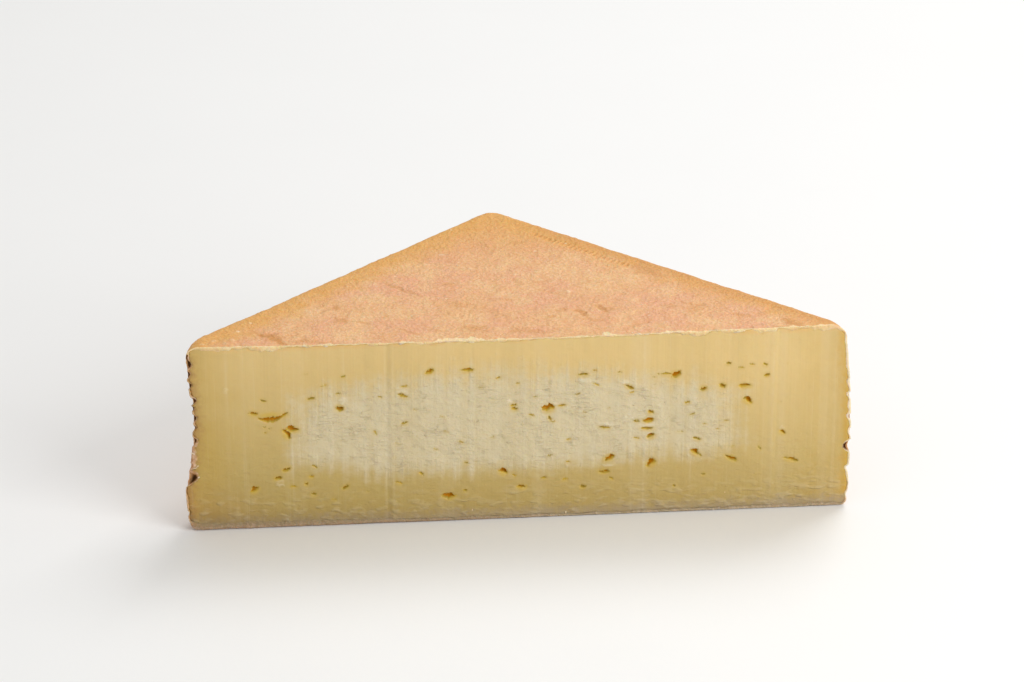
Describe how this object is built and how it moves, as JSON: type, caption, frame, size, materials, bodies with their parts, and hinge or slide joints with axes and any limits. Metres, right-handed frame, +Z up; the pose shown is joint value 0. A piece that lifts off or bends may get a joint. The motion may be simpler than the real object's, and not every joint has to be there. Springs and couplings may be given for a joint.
{
  "type": "maroilles cheese",
  "caption": "Half of a low square washed-rind cheese, cut corner to corner: a three-cornered block with an orange rind and a pale slitted cut face.",
  "frame": {"origin": "under the middle of the bounding box, on the surface that the cheese rests on", "axes": "+Z up, +X along the cut from its left end to its right end, +Y from the cut face to the back corner"},
  "size_m": [0.1696, 0.084, 0.0513],
  "materials": {
    "paste": "smooth, slightly waxy cut paste, straw yellow with a chalky cream core",
    "rind": "matt, finely wrinkled orange washed rind"
  },
  "bodies": {
    "root": {"half_cheese": "paste"}
  },
  "joints": []
}
